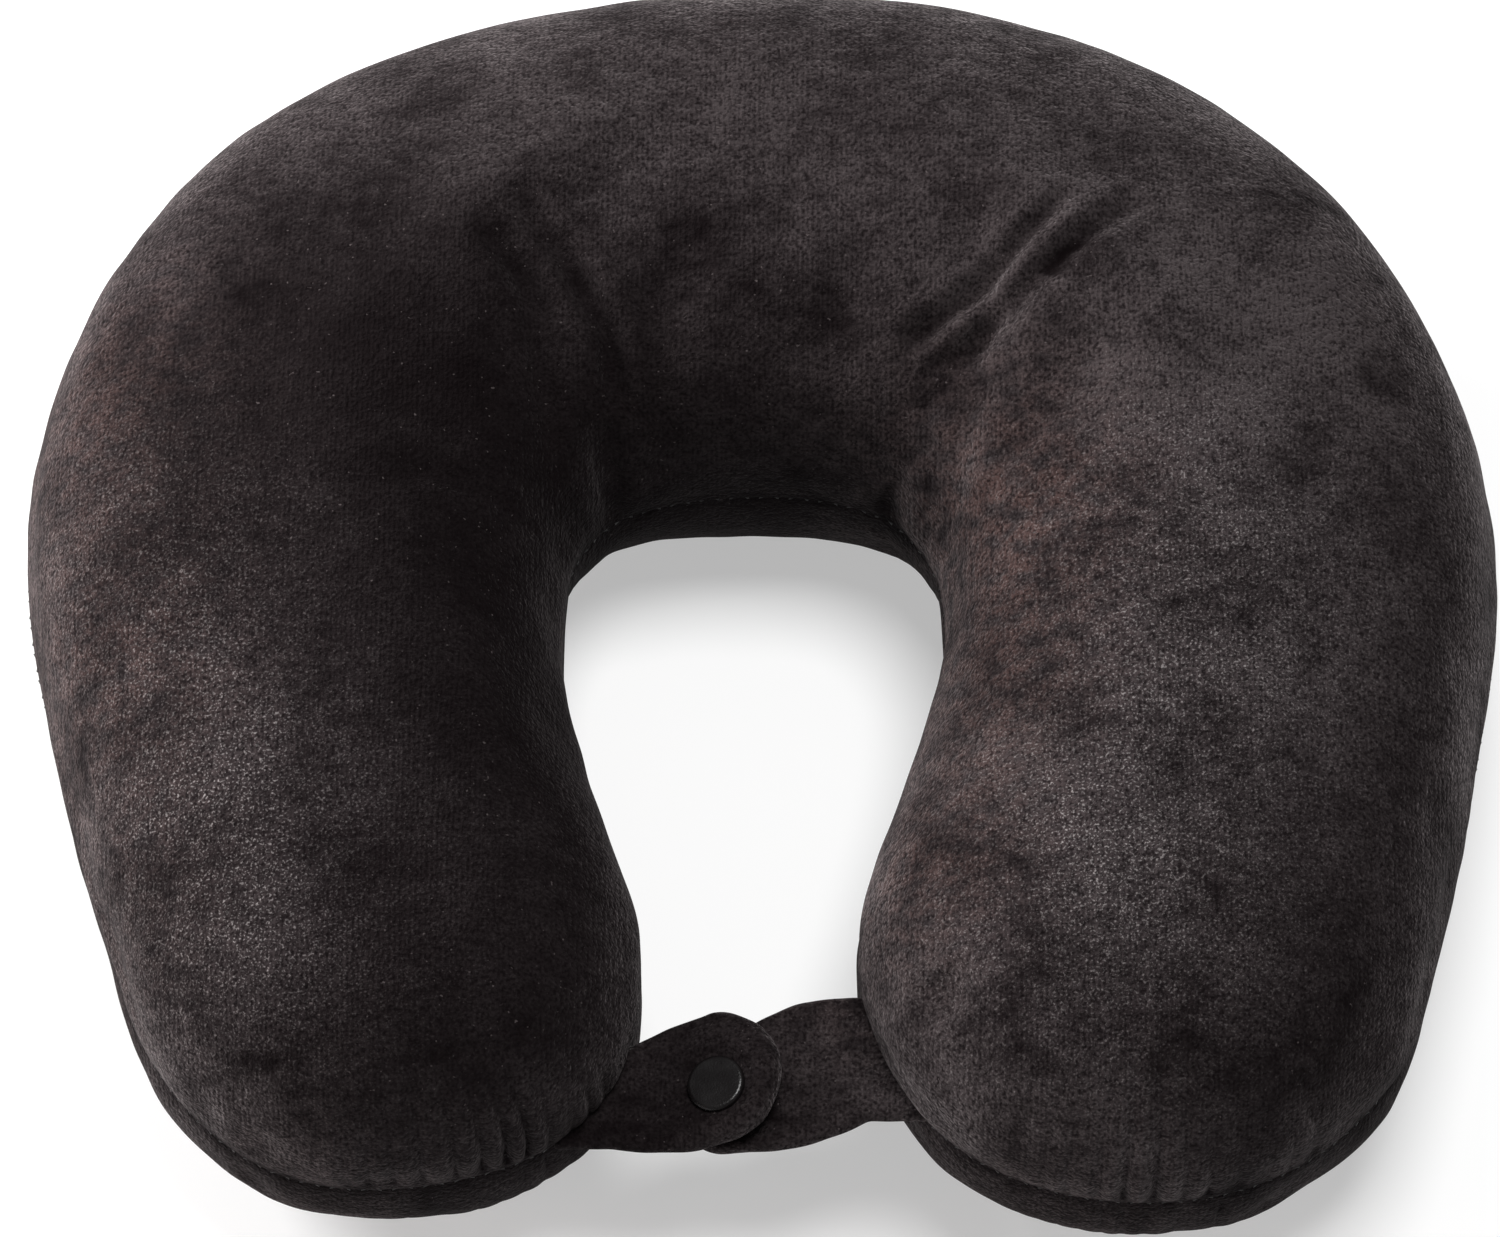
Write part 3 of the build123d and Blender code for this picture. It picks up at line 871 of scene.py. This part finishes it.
class Graph:
    """Short calls for building one material's nodes. A value is a socket or a number."""

    def __init__(self, name, roughness):
        self.material = bpy.data.materials.new(name)
        self.material.use_nodes = True
        self.tree = self.material.node_tree
        self.shader = self.tree.nodes["Principled BSDF"]
        self.shader.inputs["Roughness"].default_value = roughness

    def wire(self, socket, value):
        if isinstance(value, bpy.types.NodeSocket):
            self.tree.links.new(value, socket)
        else:
            socket.default_value = value

    def set(self, **inputs):
        """Set the shader's inputs, their names written with _ for spaces."""
        for key, value in inputs.items():
            self.wire(self.shader.inputs[key.replace("_", " ")], value)

    def attribute(self, name, output="Fac"):
        node = self.tree.nodes.new("ShaderNodeAttribute")
        node.attribute_name = name
        return node.outputs[output]

    def position(self):
        return self.tree.nodes.new("ShaderNodeTexCoord").outputs["Object"]

    def noise(self, place, size, detail, stretch=(1, 1, 1), seed=0.0):
        """Noise from 0 to 1 with features of that size in metres."""
        mapping = self.tree.nodes.new("ShaderNodeMapping")
        mapping.inputs["Location"].default_value = (seed, seed, seed)
        mapping.inputs["Scale"].default_value = [1 / (size * part) for part in stretch]
        self.wire(mapping.inputs["Vector"], place)
        node = self.tree.nodes.new("ShaderNodeTexNoise")
        node.inputs["Scale"].default_value = 1.0
        node.inputs["Detail"].default_value = detail
        self.wire(node.inputs["Vector"], mapping.outputs["Vector"])
        return node.outputs["Fac"]

    def ribs(self, place, pitch, wander):
        """Soft parallel lines along Y, from 0 to 1. wander shifts them, in radians."""
        split = self.tree.nodes.new("ShaderNodeSeparateXYZ")
        self.wire(split.inputs["Vector"], place)
        across = self.math("MULTIPLY", split.outputs["X"], 2 * math.pi / pitch)
        wave = self.math("SINE", self.math("ADD", across, wander))
        return self.remap(wave, -1, 1, 0, 1)

    def remap(self, value, low, high, to_low=0.0, to_high=1.0):
        """The value moved from one range to another, and clamped to it."""
        node = self.tree.nodes.new("ShaderNodeMapRange")
        for key, number in (("From Min", low), ("From Max", high), ("To Min", to_low), ("To Max", to_high)):
            node.inputs[key].default_value = number
        self.wire(node.inputs["Value"], value)
        return node.outputs["Result"]

    def math(self, operation, a, b=0.0):
        node = self.tree.nodes.new("ShaderNodeMath")
        node.operation = operation
        self.wire(node.inputs[0], a)
        self.wire(node.inputs[1], b)
        return node.outputs["Value"]

    def times(self, first, *others):
        """Product of the values."""
        for value in others:
            first = self.math("MULTIPLY", first, value)
        return first

    def weigh(self, *pairs):
        """Sum of value times weight."""
        total = 0.0
        for value, weight in pairs:
            total = self.math("ADD", total, self.times(value, weight))
        return total

    def mix(self, factor, first, second):
        """From the first colour to the second by factor. A colour is a socket or three numbers."""
        node = self.tree.nodes.new("ShaderNodeMix")
        node.data_type = "RGBA"
        self.wire(node.inputs["Factor"], factor)
        self.wire(node.inputs["A"], (*first, 1) if isinstance(first, tuple) else first)
        self.wire(node.inputs["B"], (*second, 1) if isinstance(second, tuple) else second)
        return node.outputs["Result"]

    def bump(self, height, distance):
        node = self.tree.nodes.new("ShaderNodeBump")
        node.inputs["Distance"].default_value = distance
        self.wire(node.inputs["Height"], height)
        return node.outputs["Normal"]


# The sizes of what is seen in the velour, from broad patches to single fibres
PATCH_SIZE = 0.022
STROKE_SIZE = 0.0055
TUFT_SIZE = 0.0013
FIBRE_SIZE = 0.0007
TIP_SIZE = 0.0005
LINT_SIZE = 0.0007
RIB_PITCH = 0.00105  # of the knit's ribs, which run along Y
RIB_WANDER = 5.0  # radians

PAINTED_SHADING_STEP = 2.4  # painted light of 1 makes the pile this many times lighter, and painted shade of -1 as much darker
# strength of the painted glints
PAINTED_GLINT_STRENGTH = 0.6
PILE_DEEP = (0.0036, 0.0023, 0.0026)
PILE_RAISED = (0.0335, 0.0273, 0.0282)
# the pile's colour where painted warm light falls
PILE_WARM_LIT = (0.0465, 0.0278, 0.0256)
# colour of the painted glints on the fibres' tips
PAINTED_GLINT_COLOUR = (0.34, 0.315, 0.31)
LINT = (0.05, 0.042, 0.042)


def velour():
    """Black pile knit: patches where the pile lies one way or the other, tufts, fine ribs and a little lint,
    with painted highlights on the fibres' tips, painted warm light, and painted light and shade in broad
    areas, creases and the seam's groove.
    """
    graph = Graph("velour", roughness=0.9)
    cloth = graph.attribute("cloth", "Vector")
    patches = graph.noise(cloth, PATCH_SIZE, 3)
    strokes = graph.noise(cloth, STROKE_SIZE, 3, stretch=(1, 0.7, 1), seed=3)
    tufts = graph.noise(cloth, TUFT_SIZE, 2, seed=7)
    fibres = graph.noise(cloth, FIBRE_SIZE, 1, seed=11)
    tips = graph.noise(cloth, TIP_SIZE, 1, seed=23)
    specks = graph.noise(cloth, LINT_SIZE, 0, seed=19)
    ribs = graph.ribs(cloth, RIB_PITCH, graph.times(strokes, RIB_WANDER))

    # how much of the pile's lit side is seen, 0 being the dark depth between the fibres: random tone, with
    # painted shade in the creases and the seam's groove and painted light and shade in broad areas
    broad = graph.weigh((patches, 0.60), (strokes, 0.40), (graph.attribute("crease"), -0.09))
    fine = graph.weigh((tufts, 0.36), (fibres, 0.60), (ribs, 0.04))
    # painted light and shade in broad areas, as a gain on the pile
    painted_shading_gain = graph.math("POWER", PAINTED_SHADING_STEP, graph.attribute("nap"))
    pile_tone_and_painted_shade = graph.times(graph.remap(broad, 0.28, 0.72), graph.remap(fine, 0.36, 0.64, 0.25, 1.75), painted_shading_gain)

    # painted warm light, reddish where it falls
    warmth = graph.times(graph.attribute("warmth"), graph.remap(strokes, 0.3, 0.6))
    # painted glints where the fibres' tips catch the light
    painted_glint_share = graph.times(graph.remap(tips, 0.57, 0.66), graph.attribute("sparkle"), pile_tone_and_painted_shade, PAINTED_GLINT_STRENGTH)
    black = graph.mix(pile_tone_and_painted_shade, PILE_DEEP, PILE_RAISED)
    reddish = graph.mix(pile_tone_and_painted_shade, PILE_DEEP, PILE_WARM_LIT)
    pile = graph.mix(warmth, black, reddish)
    colour = graph.mix(graph.remap(specks, 0.80, 0.85), graph.mix(painted_glint_share, pile, PAINTED_GLINT_COLOUR), LINT)
    height = graph.weigh((strokes, 0.5), (tufts, 0.6), (fibres, 0.35), (ribs, 0.06))
    graph.set(
        Base_Color=colour,
        Sheen_Weight=graph.remap(pile_tone_and_painted_shade, 0.0, 1.2, 0.02, 0.28),
        Sheen_Roughness=0.45,
        Sheen_Tint=(0.95, 0.85, 0.86, 1),
        Specular_IOR_Level=0.03,
        Normal=graph.bump(height, 0.0009),
    )
    return graph.material


def thread():
    """Black sewing thread with a fine twist."""
    graph = Graph("thread", roughness=0.55)
    strands = graph.noise(graph.position(), 0.0004, 2)
    colour = graph.mix(strands, (0.005, 0.005, 0.005), (0.020, 0.018, 0.018))
    graph.set(Base_Color=colour, Sheen_Weight=0.1, Normal=graph.bump(strands, 0.0002))
    return graph.material


def fibre_fill():
    """White fibre in clumps and hairs."""
    graph = Graph("fibre_fill", roughness=0.95)
    clumps = graph.noise(graph.position(), 0.010, 4)
    hairs = graph.noise(graph.position(), 0.0015, 4, stretch=(1, 3, 1))
    colour = graph.mix(graph.weigh((clumps, 0.6), (hairs, 0.4)), (0.60, 0.60, 0.58), (0.90, 0.90, 0.88))
    height = graph.weigh((clumps, 0.7), (hairs, 0.5))
    graph.set(Base_Color=colour, Sheen_Weight=0.4, Normal=graph.bump(height, 0.002))
    return graph.material


def interlining():
    """Stiff grey layer of pressed fibres."""
    graph = Graph("interlining", roughness=0.85)
    fibres = graph.noise(graph.position(), 0.0009, 4, stretch=(1, 2.5, 1))
    colour = graph.mix(fibres, (0.05, 0.05, 0.05), (0.16, 0.16, 0.155))
    graph.set(Base_Color=colour, Normal=graph.bump(fibres, 0.0003))
    return graph.material


def snap_plastic():
    """Moulded black plastic with a satin grain and faint rubbed marks."""
    graph = Graph("snap_plastic", roughness=0.4)
    grain = graph.noise(graph.position(), 0.0004, 2)
    rubbed = graph.noise(graph.position(), 0.004, 4, seed=5)
    colour = graph.mix(graph.remap(rubbed, 0.45, 0.7), (0.0055, 0.0045, 0.0047), (0.009, 0.0078, 0.008))
    graph.set(
        Base_Color=colour,
        Roughness=graph.remap(rubbed, 0.3, 0.7, 0.26, 0.36),
        Specular_IOR_Level=0.35,
        Normal=graph.bump(grain, 0.00006),
    )
    return graph.material


def paint(material, slot, *objects):
    """Give each object the one material. slot is not used."""
    for obj in objects:
        obj.data.materials.clear()
        obj.data.materials.append(material)


SNAP_NODES = ("left_snap_cap", "left_snap_socket", "right_snap_cap", "right_snap_stud")

paint(velour(), "cover_velour", cover_top, cover_bottom, left_strap, right_strap)
paint(thread(), "thread", seam_stitches, closing_stitches)
paint(fibre_fill(), "filling", filling)
paint(interlining(), "interlining", left_layer, right_layer)
paint(snap_plastic(), None, *(frame["nodes"][name] for name in SNAP_NODES))

# ---------------------------------------------------------------- floor, light and camera

CAMERA_ELEVATION = math.radians(63)
CAMERA_DISTANCE = 1.5
FRAME_WIDTH = 1.016 * WIDTH  # what the picture spans at the middle of the pillow
LOOK_AT = Vector((-0.0028, -0.0030, SEAM_Z))
FLOOR_HALF = 3.0
WORLD_STRENGTH = 0.16

# Round softboxes that face the pillow: name, place, width, power and colour
LIGHTS = (
    ("key", (-0.95, 0.45, 0.55), 0.50, 22, (1, 1, 1)),
    ("overhead", (0.15, 0.05, 1.4), 0.6, 17, (1, 1, 1)),
    ("warm_side", (-1.0, -0.25, 0.25), 0.4, 2.5, (1.0, 0.75, 0.70)),
)


def look(obj, target):
    """Turn a camera or light towards a point."""
    obj.rotation_mode = "QUATERNION"
    obj.rotation_quaternion = (Vector(target) - obj.location).to_track_quat("-Z", "Y")


def add_light(name, place, width, power, colour):
    data = bpy.data.lights.new(name, "AREA")
    data.shape = "DISK"
    data.size = width
    data.energy = power
    data.color = colour
    light = bpy.data.objects.new(name, data)
    bpy.context.scene.collection.objects.link(light)
    light.location = place
    look(light, (0, 0, SEAM_Z))


def floor_sheet():
    """White sheet lit softly from below, which keeps the pillow's shadow light."""
    graph = Graph("floor_sheet", roughness=0.8)
    grain = graph.noise(graph.position(), 0.3, 3)
    graph.set(
        Base_Color=graph.mix(grain, (0.55, 0.55, 0.55), (0.58, 0.58, 0.58)),
        Specular_IOR_Level=0.2,
        Emission_Color=(1, 1, 1, 1),
        Emission_Strength=0.45,
    )
    return graph.material


def add_world():
    """Even white light from all round."""
    world = bpy.data.worlds.new("studio")
    world.use_nodes = True
    background = world.node_tree.nodes["Background"]
    background.inputs["Color"].default_value = (1, 1, 1, 1)
    background.inputs["Strength"].default_value = WORLD_STRENGTH
    bpy.context.scene.world = world


def add_camera():
    data = bpy.data.cameras.new("camera")
    data.sensor_width = 36
    data.lens = data.sensor_width * CAMERA_DISTANCE / FRAME_WIDTH
    camera = bpy.data.objects.new("camera", data)
    bpy.context.scene.collection.objects.link(camera)
    towards = Vector((0, -math.cos(CAMERA_ELEVATION), math.sin(CAMERA_ELEVATION)))
    camera.location = LOOK_AT + CAMERA_DISTANCE * towards
    look(camera, LOOK_AT)
    bpy.context.scene.camera = camera


corners = np.array([(-1, -1, 0), (1, -1, 0), (1, 1, 0), (-1, 1, 0)]) * FLOOR_HALF
floor = make_object("floor", corners, np.array([(0, 1, 2, 3)]))
paint(floor_sheet(), None, floor)

for row in LIGHTS:
    add_light(*row)
add_world()
add_camera()
bpy.context.scene.view_settings.view_transform = "Standard"
